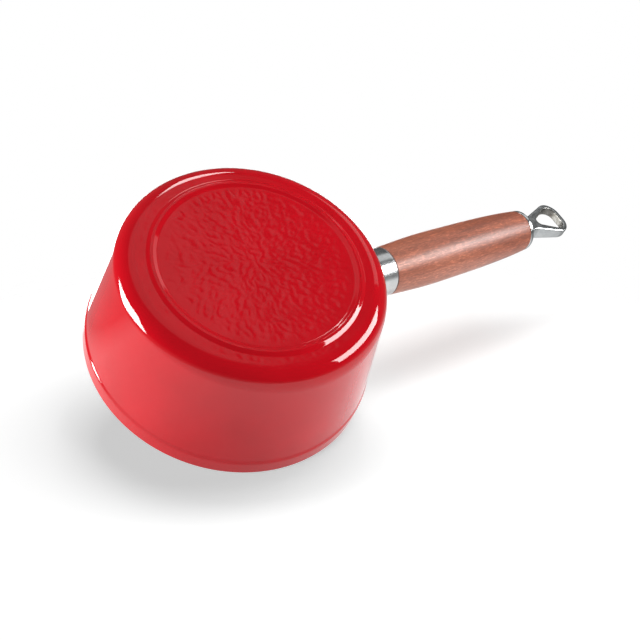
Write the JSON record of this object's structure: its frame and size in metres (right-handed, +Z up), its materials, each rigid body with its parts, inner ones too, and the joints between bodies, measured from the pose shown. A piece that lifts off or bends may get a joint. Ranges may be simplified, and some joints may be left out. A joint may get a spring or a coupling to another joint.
{
  "type": "saucepan",
  "caption": "Enamelled cast-iron saucepan with straight flared sides, foot ring, rim band and a screw-on barrel-shaped wooden handle ending in a steel hanging eye.",
  "frame": {"origin": "centre of the foot ring, on the plane the pan stands on", "axes": "+Z up through the bowl's mouth, +X from the bowl towards the handle"},
  "size_m": [0.3706, 0.1719, 0.0886],
  "materials": {
    "enamelled_iron": "glossy red vitreous enamel outside, pale satin enamel inside",
    "brushed_steel": "brushed",
    "oiled_wood": "satin, reddish brown, fine grain along the handle",
    "plain_steel": "plain drawn steel",
    "polished_steel": "cast and polished"
  },
  "bodies": {
    "pan": {"pan_body": "enamelled_iron"},
    "grip": {"ferrule": "brushed_steel", "wooden_grip": "oiled_wood"},
    "eye": {"tie_rod": "plain_steel", "hanging_eye": "polished_steel"}
  },
  "joints": [
    {"name": "handle_draw", "type": "slide", "parent": "pan", "child": "grip", "axis": [0.994, 0, 0.1097], "range_m": [0, 0.0125]},
    {"name": "eye_turn", "type": "hinge", "parent": "grip", "child": "eye", "pos_m": [0.24352, 0, 0.07508], "axis": [0.994, 0, 0.1097], "range_deg": [0, 3600]}
  ],
  "couplings": [
    {"joint": "eye_turn", "follows": "handle_draw", "rad_per_m": 5026.5}
  ]
}
